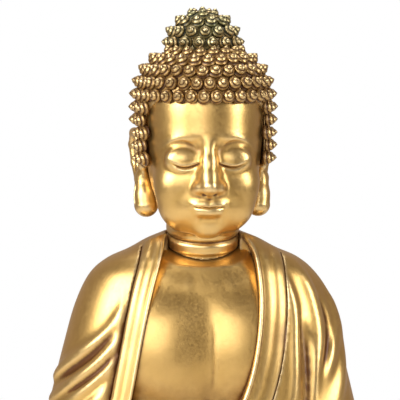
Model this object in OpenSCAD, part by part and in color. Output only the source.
// Seated meditation figure, cast in hollow sections that are bonded on seats and dowels.
// The figure faces -Y. The origin is on the floor, under the middle of the figure.

/* [Lap] */
// Width across the knees
lap_w = 340; // [300:1:380]
// Depth from the shins to the back of the seat
lap_d = 236; // [215:1:260]
// Height of the seat that the trunk stands on
lap_h = 84; // [78:1:92]
// Radius of the knees
knee_r = 34; // [30:1:38]
// Radius of the hips
hip_r = 46; // [42:1:50]
// Radius of the shins
shin_r = 28; // [24:1:32]
// Depth of the well that the trunk stands in
well_depth = 12; // [8:1:16]

/* [Trunk and robe] */
// Height from the seat to the pit of the neck
trunk_h = 172; // [160:1:200]
// Width of the bare chest
chest_w = 172; // [150:1:180]
// Depth of the bare chest
chest_d = 100; // [90:1:108]
// Width of the robe at the elbows
robe_w = 252; // [240:1:270]
// Depth of the robe at the waist
robe_d = 124; // [118:1:136]
// Width of the left collar band
left_band_w = 22; // [16:1:26]
// Width of the right collar band
right_band_w = 15; // [10:1:20]
// Height that a collar band stands above the robe
band_rise = 2; // [1:0.5:4]

/* [Head] */
// Height of the neck from its pit to the chin
neck_h = 22; // [16:1:28]
// Radius of the neck
neck_r = 28; // [24:1:30]
// Depth of the creases between the neck's rings
crease = 1.6; // [0.5:0.1:2.5]
// Width of the head under the hair
head_w = 90; // [80:1:100]
// Length of the head under the hair, front to back
head_l = 108; // [98:1:118]
// Height of the head from the chin to the scalp
head_h = 136; // [124:1:150]
// Thickness of the hair cap
cap_t = 4.5; // [3:0.5:6]
// Width of the bare face between the curls
face_w = 83; // [76:1:90]
// Radius of the crown dome
dome_r = 25; // [22:1:29]
// Height that the crown dome stands above the scalp
dome_rise = 23; // [18:1:28]
// Height of an ear from the lobe to the top
ear_h = 70; // [60:1:78]

/* [Curls] */
// Number of rows of curls between the crown dome and the row that edges the forehead
rows_above = 4; // [3:1:5]
// Number of rows of curls from the edge of the forehead down to the nape
rows_below = 8; // [6:1:9]
// Number of rings of curls on the crown dome, with the top curl as one
dome_rows = 5; // [4:1:6]
// Spacing of the curls
curl_pitch = 10.2; // [9:0.1:12]
// Height of a curl
curl_h = 7.6; // [5:0.1:9]

/* [Hands and feet] */
// Length of a hand from the wrist to the fingertips
hand_l = 86; // [78:1:94]
// Radius of a finger
finger_r = 5.2; // [4.5:0.1:6]
// Length of a foot
foot_l = 80; // [68:1:88]

/* [Casting] */
// Wall of the castings
wall = 5; // [4:0.5:8]
// Gap of a bonded joint
seam = 0.3; // [0.2:0.05:0.5]
// Thickness of the base plate
plate_t = 5; // [3:0.5:8]
// Thickness of a base pad
pad_t = 2.5; // [1.5:0.5:4]
// Radius of a base pad
pad_r = 13; // [8:1:16]
// Radius of the neck dowel
neck_dowel_r = 9; // [6:0.5:10]
// Length of the neck dowel
neck_dowel_l = 44; // [36:1:48]
// Radius of a wrist dowel
wrist_dowel_r = 3; // [2:0.5:4]
// Length of a wrist dowel
wrist_dowel_l = 20; // [16:1:26]

/* [Hidden] */
hair_rows = rows_above + 1 + rows_below;

GOLD = "#c09a4a";
AGED_GOLD = "#9a8a4c";
CORE = "#e3dcc8";
PAD = "#3b3633";

ROUND = 18;          // sides of a ball in the limbs
SKIN = 26;           // sides of a lofted skin
FINE = 48;           // sides of a drilled hole
FINGER = 8;         // sides of a finger
BIG = 400;           // larger than the figure
fit = 0.08;          // radial gap of a dowel in its hole
ledge = 2.5;         // width of the ledge that the base plate is bonded to

hem_t = 3.4;                          // thickness of the hem's pleats
trunk_y = 26;                         // the trunk's axis, behind the middle of the lap
floor_z = pad_t;                      // underside of the lap casting
deck_z = lap_h - well_depth;          // floor of the trunk's well
neck_z = lap_h + trunk_h;             // pit of the neck, in front
neck_y = trunk_y - 2;
neck_tilt = 24;                       // the neck's joint slopes down to the front
nape_z = neck_z + neck_r * tan(neck_tilt);  // the joint's height on the neck's axis
robe_top = neck_z + 0.13 * trunk_h;
chin_z = neck_z + neck_h;
skull_y = 19;                         // the head's axis
cap_z = chin_z + 0.72 * head_h;       // widest level of the hair
cap_a = head_w / 2 + cap_t;
cap_b = head_l / 2 + cap_t;
cap_top = chin_z + head_h + cap_t - cap_z;
cap_low = 105;                        // depth scale of the hair below its widest level
cap_top_power = 2.3;
cap_low_power = 3.2;
nape_edge = chin_z + 0.17 * head_h;   // lower edge of the hair at the nape
temple_z = chin_z + 0.34 * head_h;    // lower edge of the hair in front of the ears
hairline_z = chin_z + 0.73 * head_h;  // lower edge of the hair over the forehead
dome_y = skull_y + 4;
dome_z = cap_z + cap_top + 1;         // the dome's widest level
ear_y = skull_y + 11;
ear_z = chin_z + 0.33 * head_h;
hip = [lap_w / 2 - 106, lap_d / 2 - hip_r - 14, floor_z + hip_r - 4];
thigh = [lap_w / 2 - 66, 0.06 * lap_d, floor_z + hip_r - 10];
knee = [lap_w / 2 - knee_r, -0.15 * lap_d, floor_z + knee_r - 5];
shin = [26, shin_r + hem_t - lap_d / 2, floor_z + shin_r - 2];
thigh_top = floor_z + 2 * knee_r;     // what the feet and the hands rest on
elbow = [robe_w / 2 - 32, 14, thigh_top + 29];
wrist = [hand_l / 2 + 6, trunk_y - robe_d / 2 - 28, thigh_top + 19];
palm_drop = 12;                       // the palms lie below the wrists' height

// The trunk as [height, half width, half depth], in shares of trunk_h, chest_w / 2 and chest_d / 2.
TRUNK = [[-0.15, 0.80, 0.92], [0.10, 0.80, 0.88], [0.36, 0.88, 0.94], [0.60, 1.00, 1.00],
         [0.76, 1.00, 0.96], [0.88, 0.88, 0.84], [0.96, 0.66, 0.74], [1.02, 0.46, 0.66],
         [1.08, 0.36, 0.58], [1.20, 0.34, 0.54]];
// The robe as the same shares of trunk_h, robe_w / 2 and robe_d / 2.
ROBE = [[-0.30, 0.97, 0.98], [-0.08, 0.99, 1.00], [0.08, 1.00, 1.00], [0.22, 0.98, 0.99],
        [0.40, 0.925, 0.97], [0.62, 0.85, 0.93], [0.80, 0.78, 0.84], [0.93, 0.695, 0.71],
        [1.00, 0.60, 0.62], [1.045, 0.465, 0.57], [1.16, 0.27, 0.54]];
// The head as [height, half width, half length, place along Y], in shares of head_h, head_w / 2 and head_l / 2.
HEAD = [[0.00, 0.20, 0.20, -0.46], [0.04, 0.46, 0.44, -0.36], [0.13, 0.72, 0.68, -0.20],
        [0.25, 0.87, 0.84, -0.10], [0.42, 0.95, 0.94, -0.04], [0.60, 0.98, 0.99, -0.01],
        [0.78, 0.95, 0.97, 0.00], [0.90, 0.74, 0.76, 0.00], [0.97, 0.42, 0.44, 0.00],
        [1.00, 0.14, 0.16, 0.00]];
// Inner edges of the robe's opening, as [x, height] with the height in shares of trunk_h.
RIGHT_EDGE = [[-29, 1.16], [-35, 1.00], [-43, 0.84], [-50, 0.65], [-57, 0.44], [-64, 0.24], [-70, -0.05]];
LEFT_EDGE = [[30, 1.16], [36, 1.03], [39, 0.87], [37, 0.70], [32, 0.54], [23, 0.39], [6, 0.20], [-22, -0.05]];

function curve(p, q, r, s, t) = 0.5 * (2 * q + (r - p) * t
    + (2 * p - 5 * q + 4 * r - s) * t * t + (3 * q - p - 3 * r + s) * t * t * t);
// A smooth run through the keys, each span cut into steps.
function smooth(keys, steps) = [
    for (i = [0 : len(keys) - 2], j = [0 : steps - 1])
        curve(keys[max(i - 1, 0)], keys[i], keys[i + 1], keys[min(i + 2, len(keys) - 1)], j / steps),
    keys[len(keys) - 1]];
function rounded(v, power) = sign(v) * pow(abs(v), 2 / power);
// A point of a section given as [z, half width, half depth, y].
function ring_point(ring, angle, power) =
    [ring[1] * rounded(cos(angle), power), ring[3] + ring[2] * rounded(sin(angle), power), ring[0]];
function ring_side(k, i, j, n) = [[k * n + i, k * n + n + i, k * n + n + j], [k * n + i, k * n + n + j, k * n + j]];

function steps(inset) = inset > 0 ? 1 : 2;
function trunk_rings(inset) = [for (k = smooth(TRUNK, steps(inset)))
    [lap_h + k[0] * trunk_h, k[1] * chest_w / 2 - inset, k[2] * chest_d / 2 - inset, trunk_y]];
function robe_rings(inset) = [for (k = smooth(ROBE, steps(inset)))
    [lap_h + k[0] * trunk_h, k[1] * robe_w / 2 - inset, k[2] * robe_d / 2 - inset, trunk_y]];
function head_rings(inset) = [for (k = smooth(HEAD, steps(inset)))
    [chin_z + k[0] * head_h, max(k[1] * head_w / 2 - inset, 1), max(k[2] * head_l / 2 - inset, 1),
     skull_y + k[3] * head_l / 2]];

// The hair cap's meridian: its half width's share at a height above the widest level, and the
// distance along it from the pole, as [distance, height].
function cap_power(h) = h < 0 ? cap_low_power : cap_top_power;
function cap_depth(h) = h < 0 ? cap_low : cap_top;
function cap_share(h) = pow(1 - pow(abs(h) / cap_depth(h), cap_power(h)), 1 / cap_power(h));
LEVELS = concat([for (a = [90 : -3 : 3]) cap_top * pow(sin(a), 2 / cap_top_power)],
                [for (h = [0 : 0.03 : 0.93]) -h * cap_low]);
function level_step(i) = norm([(cap_share(LEVELS[i + 1]) - cap_share(LEVELS[i])) * (cap_a + cap_b) / 2,
                               LEVELS[i + 1] - LEVELS[i]]);
MERIDIAN = [for (i = 0, s = 0; i < len(LEVELS); s = s + (i < len(LEVELS) - 1 ? level_step(i) : 0), i = i + 1)
    [s, LEVELS[i]]];
// Distances from the pole of the first row beside the dome, of the row over the forehead and of the last.
first_s = lookup((dome_r + 0.66 * curl_pitch) / (cap_a + cap_b) * 2,
                 [for (m = MERIDIAN) if (m[1] > 0) [cap_share(m[1]), m[0]]]);
function distance_to(z) = lookup(cap_z - z, [for (m = MERIDIAN) [-m[1], m[0]]]);
hairline_s = distance_to(hairline_z + 0.55 * curl_pitch);
last_s = distance_to(nape_edge + 0.5 * curl_pitch);
gap_above = (hairline_s - first_s) / rows_above;
gap_below = (last_s - hairline_s) / rows_below;
gap_crown = PI / 2 * min(dome_r, dome_rise) / (dome_rows - 0.7);
function row_height(row) = lookup(row <= rows_above ? first_s + (row - 1) * gap_above
    : hairline_s + (row - 1 - rows_above) * gap_below, MERIDIAN);
// Radius of a curl, kept clear of its neighbours and of the next rows, and a crown curl's share of it.
curl_r = 0.46 * min(curl_pitch, gap_above, gap_below);
crown_share = min(1, 0.48 * gap_crown / curl_r);

// A point on the front of the head, at a height in shares of head_h, sunk by a depth.
function head_share(h, column) = lookup(h, [for (k = HEAD) [k[0], k[column]]]);
function on_face(x, h, depth) = [x, skull_y + depth + head_share(h, 3) * head_l / 2
    - head_share(h, 2) * head_l / 2 * pow(1 - pow(2 * abs(x) / head_w / head_share(h, 1), 2.2), 1 / 2.2),
    chin_z + h * head_h];

module ball(place, r, sides = ROUND) translate(place) sphere(r, $fn = sides);
module limb(a, ra, b, rb, sides = ROUND) hull() {
    ball(a, ra, sides);
    ball(b, rb, sides);
}
// A free-form casting, made as one mesh at its own size.
module casting() resize([0, 0, 0]) children();
module loft(rings, sides, power) polyhedron(
    points = [for (ring = rings, i = [0 : sides - 1]) ring_point(ring, 360 * i / sides, power)],
    faces = concat(
        [[for (i = [0 : sides - 1]) i]],
        [for (k = [0 : len(rings) - 2], i = [0 : sides - 1]) each ring_side(k, i, (i + 1) % sides, sides)],
        [[for (i = [sides - 1 : -1 : 0]) (len(rings) - 1) * sides + i]]));
module slab(low, high) translate([-BIG, -BIG, low]) cube([2 * BIG, 2 * BIG, high - low]);

// Crossed legs under the robe, drawn in by an inset.
module legs(inset) {
    for (side = [-1, 1]) {
        limb([side * hip[0], hip[1], hip[2]], hip_r - inset, [side * thigh[0], thigh[1], thigh[2]], hip_r - 4 - inset);
        limb([side * thigh[0], thigh[1], thigh[2]], hip_r - 4 - inset, [side * knee[0], knee[1], knee[2]], knee_r - inset);
        limb([side * knee[0], knee[1], knee[2]], knee_r - inset, [-side * shin[0], shin[1], shin[2]], shin_r - inset);
    }
    hull() {
        for (side = [-1, 1]) {
            ball([side * hip[0], hip[1], hip[2]], hip_r - crease - inset);
            ball([side * knee[0] * 0.5, knee[1], knee[2] + 3], knee_r - inset);
            ball([side * shin[0], shin[1] + crease, shin[2] + crease / 2], shin_r - inset);
        }
        ball([0, lap_d / 2 - hip_r, hip[2]], hip_r - inset);
    }
}
module trunk(inset) loft(trunk_rings(inset), SKIN, 2.3);
module bell(inset) loft(robe_rings(inset), SKIN, 2.15);

// The outline that the legs stand on, drawn in by a wall and an inset, as a block through the floor.
module base_form(inset, height, start = -1) translate([0, 0, floor_z + start]) linear_extrude(height) hull()
    for (side = [-1, 1], leg = [[hip, hip_r], [knee, knee_r], [shin, shin_r]])
        translate([side * leg[0][0], leg[0][1]])
            circle(sqrt(pow(leg[1], 2) - pow(leg[0][2] - floor_z, 2)) - wall + ledge - inset, $fn = FINE);

module lap_shell() color(GOLD) casting() difference() {
    legs(0);
    slab(-BIG, floor_z);
    intersection() {
        legs(wall);
        slab(floor_z + plate_t + wall, deck_z - wall);
    }
    base_form(0, plate_t + 1);
    base_form(ledge, 0.6 * knee_r);
    intersection() {
        trunk(-seam);
        slab(deck_z, BIG);
    }
}

// The pleated edge of the robe that fans out over the crossed shins.
module fan(from, to) translate([0, -0.3 * lap_d, 0]) rotate([90, 0, 0]) linear_extrude(BIG) intersection() {
    translate([0, lap_h + 10]) polygon([[0, 0], [BIG * sin(from), -BIG * cos(from)], [BIG * sin(to), -BIG * cos(to)]]);
    translate([-BIG, floor_z]) square([2 * BIG, 0.62 * lap_h]);
}
module front_hem() color(GOLD) casting() difference() {
    union() {
        intersection() {
            legs(0.6 * -hem_t);
            fan(-28, 28);
        }
        intersection() {
            legs(-hem_t);
            for (pleat = [-3 : 2]) fan(9.4 * pleat, 9.4 * pleat + 5.6);
        }
    }
    legs(-seam);
}

// A foot that lies sole up across the opposite thigh, with its toes outwards.
module sole(side) {
    heel = [side * 34, 30 - lap_d / 2, thigh_top - 10];
    limb(heel, 15, heel + [side * 0.30 * foot_l, 2, 1], 12);
    hull()
        for (toe = [0, 4])
            ball(heel + [side * 0.62 * foot_l, 11 - 5.2 * toe, 1 + 0.3 * toe], 9);
    hull() {
        ball(heel + [side * 0.30 * foot_l, 2, 1], 12);
        for (toe = [0, 4])
            ball(heel + [side * 0.62 * foot_l, 11 - 5.2 * toe, 1], 9);
    }
    for (toe = [0 : 4]) {
        root = heel + [side * 0.68 * foot_l, 13.5 - 6.4 * toe, 3];
        limb(root, 5.4 - 0.35 * toe, root + [side * (0.17 - 0.018 * toe) * foot_l, 0.5, 2], 5.6 - 0.45 * toe, FINGER);
    }
}
module foot(side) color(GOLD) casting() difference() {
    sole(side);
    legs(-3 - seam);
    sleeve_form(side, -seam);
    hand_form(side, seam);
    hand_form(-side, seam);
}
module right_foot() foot(1);
module left_foot() foot(-1);

// The trunk's side of the sloping joint under the neck, and the head's side.
module below_neck(gap) translate([0, neck_y, nape_z]) rotate([neck_tilt, 0, 0])
    translate([-BIG, -BIG, -2 * BIG - gap]) cube(2 * BIG);
module above_neck(gap) translate([0, neck_y, nape_z]) rotate([neck_tilt, 0, 0])
    translate([-BIG, -BIG, gap]) cube(2 * BIG);
module neck_bore() translate([0, neck_y, nape_z - neck_dowel_l / 2])
    cylinder(r = neck_dowel_r + fit, h = neck_dowel_l + 1, $fn = FINE);
module neck_room() translate([0, neck_y, nape_z - neck_r]) cylinder(r = neck_r + 1, h = BIG, $fn = SKIN);

module torso_shell() color(GOLD) casting() difference() {
    intersection() {
        trunk(0);
        slab(deck_z + seam, BIG);
        below_neck(seam / 2);
    }
    intersection() {
        trunk(wall);
        slab(0, nape_z - neck_dowel_l / 2 - wall);
    }
    neck_bore();
}

// The opening of the robe in front, and a band beside each of its edges.
function edge_points(keys, shift) = [for (k = smooth(keys, 4)) [k[0] + shift, lap_h + k[1] * trunk_h]];
function backwards(points) = [for (i = [len(points) - 1 : -1 : 0]) points[i]];
module front_prism(left, right) translate([0, trunk_y - 0.1 * robe_d, 0]) rotate([90, 0, 0]) linear_extrude(robe_d)
    polygon(concat(left, backwards(right)));

module robe_mantle() color(GOLD) casting() difference() {
    bell(0);
    intersection() {
        bell(wall);
        slab(deck_z, lap_h + 0.86 * trunk_h);
    }
    trunk(-seam);
    legs(-seam);
    front_prism(edge_points(RIGHT_EDGE, -right_band_w - seam), edge_points(LEFT_EDGE, left_band_w + seam));
    neck_room();
    slab(robe_top, BIG);
}

module collar(inner, outer) color(GOLD) casting() difference() {
    intersection() {
        bell(-band_rise);
        front_prism(inner, outer);
    }
    trunk(-seam);
    legs(-seam);
    neck_room();
    slab(robe_top, BIG);
    slab(-BIG, lap_h);
    for (side = [-1, 1]) {
        sleeve_form(side, -seam);
        hand_form(side, seam);
    }
}
module right_collar() collar(edge_points(RIGHT_EDGE, -right_band_w), edge_points(RIGHT_EDGE, 0));
module left_collar() collar(edge_points(LEFT_EDGE, 0), edge_points(LEFT_EDGE, left_band_w));

// A forearm in its sleeve, with the cloth hanging onto the thigh.
module sleeve_form(side, inset) {
    e = [side * elbow[0], elbow[1], elbow[2]];
    w = [side * wrist[0], wrist[1], wrist[2]];
    limb(e, 32 - inset, w, 20 - inset);
    hull() {
        ball(e - [0, 0, 20], 27 - inset);
        ball(e + 0.55 * (w - e) - [0, 0, 20], 21 - inset);
    }
}
module sleeve(side) color(GOLD) casting() difference() {
    sleeve_form(side, 0);
    bell(-seam);
    legs(-seam);
    hand_form(side, seam);
    hand_form(-side, seam);
    wrist_dowel(side, fit);
}
module right_sleeve() sleeve(-1);
module left_sleeve() sleeve(1);

// A hand, palm up, its fingers towards the other side. The right hand lies in the left one.
function hand_root(side) = [side * (wrist[0] - 8), wrist[1], wrist[2] - palm_drop + (side < 0 ? 2 * finger_r : 0)];
module hand_form(side, grow) {
    w = hand_root(side);
    r = finger_r + grow;
    palm = 0.5 * hand_l;
    thumb = w + [-side * 0.62 * palm, -21, 6 + (side > 0 ? finger_r : 0)];
    hull() {
        ball(w, 12 + grow, FINGER);
        for (k = [0, 3]) ball(w + [-side * palm, 2.05 * finger_r * k - 14, -3], r + 1.5, FINGER);
        ball(w + [-side * 0.2 * palm, -14, -1], r + 4, FINGER);
    }
    for (k = [0 : 3]) {
        knuckle = w + [-side * palm, 2.05 * finger_r * k - 14, -3];
        reach = [0.44, 0.50, 0.48, 0.38][3 - k] * hand_l;
        bend = knuckle + [-side * 0.55 * reach, 0, -1.5];
        limb(knuckle, r, bend, r - 0.4, FINGER);
        limb(bend, r - 0.4, knuckle + [-side * reach, 0, 1.5], r - 0.9, FINGER);
    }
    limb(w + [-side * 0.25 * palm, -15, 3], r + 2.4, thumb, r + 0.8, FINGER);
    limb(thumb, r + 0.8, [side * (finger_r + 0.4), wrist[1] - 20, wrist[2] + 13], r - 0.2, FINGER);
}
module hand(side) color(GOLD) casting() difference() {
    hand_form(side, 0);
    if (side > 0) hand_form(-1, seam);
    legs(-seam);
    bell(-seam);
    wrist_dowel(side, fit);
}
module right_hand() hand(-1);
module left_hand() hand(1);
module wrist_dowel(side, grow) translate(hand_root(side)) rotate([0, 0, 60 * side]) rotate([0, 90 * side, 0])
    translate([0, 0, 11 - wrist_dowel_l / 2 - grow])
        cylinder(r = wrist_dowel_r + grow, h = wrist_dowel_l + 2 * grow, $fn = FINE);
module wrist_dowels() color(CORE) for (side = [-1, 1]) wrist_dowel(side, 0);
module neck_dowel() color(CORE) translate([0, neck_y, nape_z - neck_dowel_l / 2 + 0.5])
    cylinder(r = neck_dowel_r, h = neck_dowel_l, $fn = FINE);

// Three soft rings of the neck, leaning with its joint.
module neck_form(grow) translate([0, neck_y, nape_z]) rotate([neck_tilt / 2, 0, 0]) rotate_extrude($fn = SKIN)
    polygon(concat([[0, -20]],
        [for (z = [-20 : 3.2 : 2 * neck_h]) [neck_r + grow - crease * pow(abs(sin(16 * z + 20)), 3), z]],
        [[0, 2 * neck_h]]));
// A face of plain, even proportions, in thirds from the hairline to the chin.
module face_form() {
    eye_w = face_w / 5;
    hull() {
        ball(on_face(0, 0.51, 3), 3.4, FINGER);
        ball(on_face(0, 0.29, -5), 4.6, FINGER);
    }
    hull() {
        ball(on_face(0, 0.29, -5), 4.6, FINGER);
        for (side = [-1, 1]) ball(on_face(side * 5.6, 0.275, 0.5), 3.6, FINGER);
    }
    for (side = [-1, 1]) {
        for (k = [0 : 4])
            limb(on_face(side * (4 + 6.5 * k), 0.51 + 0.03 * sin(36 * k), 1.2), 2.4,
                 on_face(side * (10.5 + 6.5 * k), 0.51 + 0.03 * sin(36 * (k + 1)), 1.2), 2.4, FINGER);
        translate(on_face(side * eye_w, 0.44, 2.5)) resize([1.1 * eye_w, 9, 8]) sphere(4, $fn = ROUND);
        hull() {
            ball(on_face(0, 0.19, 1), 2.4, FINGER);
            ball(on_face(side * 9, 0.183, 1.2), 1.4, FINGER);
        }
    }
    hull()
        for (x = [-4.5, 0, 4.5]) ball(on_face(x, 0.158, 0.8), 2.7, FINGER);
    translate(on_face(0, 0.07, 9)) resize([26, 22, 17]) sphere(8, $fn = ROUND);
}
module head_shell() color(GOLD) casting() difference() {
    union() {
        loft(head_rings(0), SKIN, 2.2);
        face_form();
        intersection() {
            neck_form(0);
            above_neck(seam / 2);
        }
    }
    intersection() {
        loft(head_rings(wall + 1), SKIN, 2.2);
        slab(nape_z + neck_dowel_l / 2 + wall, BIG);
    }
    neck_bore();
    translate([0, neck_y, nape_z]) cylinder(r = 0.6 * neck_dowel_r, h = neck_dowel_l, $fn = FINE);
}

function cap_ring(h, grow) = [cap_z + h, cap_share(h) * cap_a + grow, cap_share(h) * cap_b + grow, skull_y];
module cap_form(grow) loft([for (i = [len(LEVELS) - 1 : -3 : 2]) cap_ring(LEVELS[i], grow)], SKIN, 2);
// Room for the bare face and the neck.
module face_window() {
    half = face_w / 2;
    translate([0, skull_y - 6, 0]) rotate([90, 0, 0]) linear_extrude(BIG) hull() {
        translate([-half, chin_z - BIG]) square([2 * half, BIG + 0.6 * head_h]);
        for (side = [-1, 1]) translate([side * (half - 18), hairline_z - 18]) circle(18, $fn = ROUND);
    }
    translate([-BIG, -BIG, chin_z - BIG]) cube([2 * BIG, BIG + ear_y, BIG + temple_z - chin_z]);
    slab(-BIG, nape_edge);
}
module ear_form(side, grow) {
    x = side * head_w / 2;
    hull() {
        ball([x + side * 2, ear_y + 4, ear_z + 0.5 * ear_h - 9], 9 + grow, FINGER + 4);
        ball([x + side * 4, ear_y + 9, ear_z + 0.22 * ear_h], 5 + grow, FINGER);
        ball([x, ear_y - 3, ear_z - 0.05 * ear_h], 6.5 + grow, FINGER);
    }
    limb([x, ear_y - 3, ear_z - 0.05 * ear_h], 6.5 + grow,
         [x - side * 2, ear_y - 5, ear_z - 0.5 * ear_h + 8.5], 8.5 + grow, FINGER + 4);
}
module ear(side) color(GOLD) casting() difference() {
    ear_form(side, 0);
    loft(head_rings(-seam), SKIN, 2.2);
}
module right_ear() ear(-1);
module left_ear() ear(1);

module hair_cap() color(GOLD) casting() difference() {
    cap_form(0);
    loft(head_rings(-seam), SKIN, 2.2);
    face_window();
    neck_form(seam);
    ear_form(-1, seam);
    ear_form(1, seam);
}
module dome_form() translate([0, dome_y, dome_z]) {
    scale([1, 1, dome_rise / dome_r]) sphere(dome_r, $fn = SKIN);
    translate([0, 0, -dome_rise]) cylinder(r = dome_r, h = dome_rise, $fn = SKIN);
}
module crown_dome() color(AGED_GOLD) casting() difference() {
    dome_form();
    cap_form(seam);
}

// One snail curl: three turns that narrow to a tip, on a flat base.
module curl(size) scale(size) rotate_extrude($fn = 24)
    polygon([for (t = [[1.00, 0.00], [1.00, 0.18], [0.88, 0.34], [0.74, 0.36], [0.74, 0.52], [0.60, 0.66],
                       [0.48, 0.67], [0.46, 0.82], [0.28, 0.94], [0.00, 1.00], [0.00, 0.00]])
        [t[0] * curl_r, t[1] * curl_h]]);
module curl_on(place, normal, size = 1) translate(place)
    rotate([0, acos(normal[2] / norm(normal)), atan2(normal[1], normal[0])]) translate([0, 0, 0.05]) curl(size);

// Whether hair grows at a point: off the face, the temples, the neck, the ears and the crown dome.
function has_hair(p) =
    (p[2] > hairline_z || abs(p[0]) > face_w / 2 + 0.7 * curl_r || p[1] > skull_y)
    && (p[2] > temple_z + curl_r || p[1] > ear_y)
    && p[2] > nape_edge + 0.7 * curl_r
    && pow((p[1] - ear_y - 1) / (14 + curl_r), 4) + pow((p[2] - ear_z) / (0.5 * ear_h + curl_r), 4) > 1
    && (p[2] < cap_z || norm([p[0], p[1] - dome_y]) > dome_r + 1.4 * curl_r);
module hair_curls_row(row) color(GOLD) {
    h = row_height(row);
    share = cap_share(h);
    power = cap_power(h);
    count = floor(PI * (cap_a + cap_b) * share / curl_pitch);
    for (i = [0 : count - 1]) {
        angle = 270 + 360 * (i + (row % 2) / 2) / count;
        x = cap_a * share * cos(angle);
        y = cap_b * share * sin(angle);
        slope = pow(share, power - 2);
        normal = [slope * x / pow(cap_a, 2), slope * y / pow(cap_b, 2),
                  sign(h) * pow(abs(h) / cap_depth(h), power - 1) / cap_depth(h)];
        place = [x, y + skull_y, cap_z + h];
        if (has_hair(place)) curl_on(place, normal);
    }
}
module crown_curls_row(row) color(AGED_GOLD) {
    lean = (row - 1) * 90 / (dome_rows - 0.7);
    count = row == 1 ? 1 : floor(2 * PI * (dome_r + 1) * sin(lean) / curl_pitch);
    for (i = [0 : count - 1]) {
        angle = 270 + 360 * (i + (row % 2) / 2) / count;
        place = [dome_r * sin(lean) * cos(angle), dome_r * sin(lean) * sin(angle) + dome_y, dome_z + dome_rise * cos(lean)];
        curl_on(place, [sin(lean) * cos(angle) / dome_r, sin(lean) * sin(angle) / dome_r, cos(lean) / dome_rise],
                crown_share);
    }
}

module base_plate() color(CORE) base_form(seam, plate_t - seam, 0);
module base_pads() color(PAD) for (side = [-1, 1], y = [-0.20 * lap_d, 0.24 * lap_d])
    translate([side * lap_w * (y > 0 ? 0.16 : 0.29), y, 0]) cylinder(r = pad_r, h = pad_t - 0.02, $fn = FINE);

lap_shell();
front_hem();
right_foot();
left_foot();
torso_shell();
robe_mantle();
right_collar();
left_collar();
right_sleeve();
left_sleeve();
right_hand();
left_hand();
head_shell();
right_ear();
left_ear();
hair_cap();
crown_dome();
for (row = [1 : hair_rows])
    hair_curls_row(row);
for (row = [1 : dome_rows])
    crown_curls_row(row);
neck_dowel();
wrist_dowels();
base_plate();
base_pads();
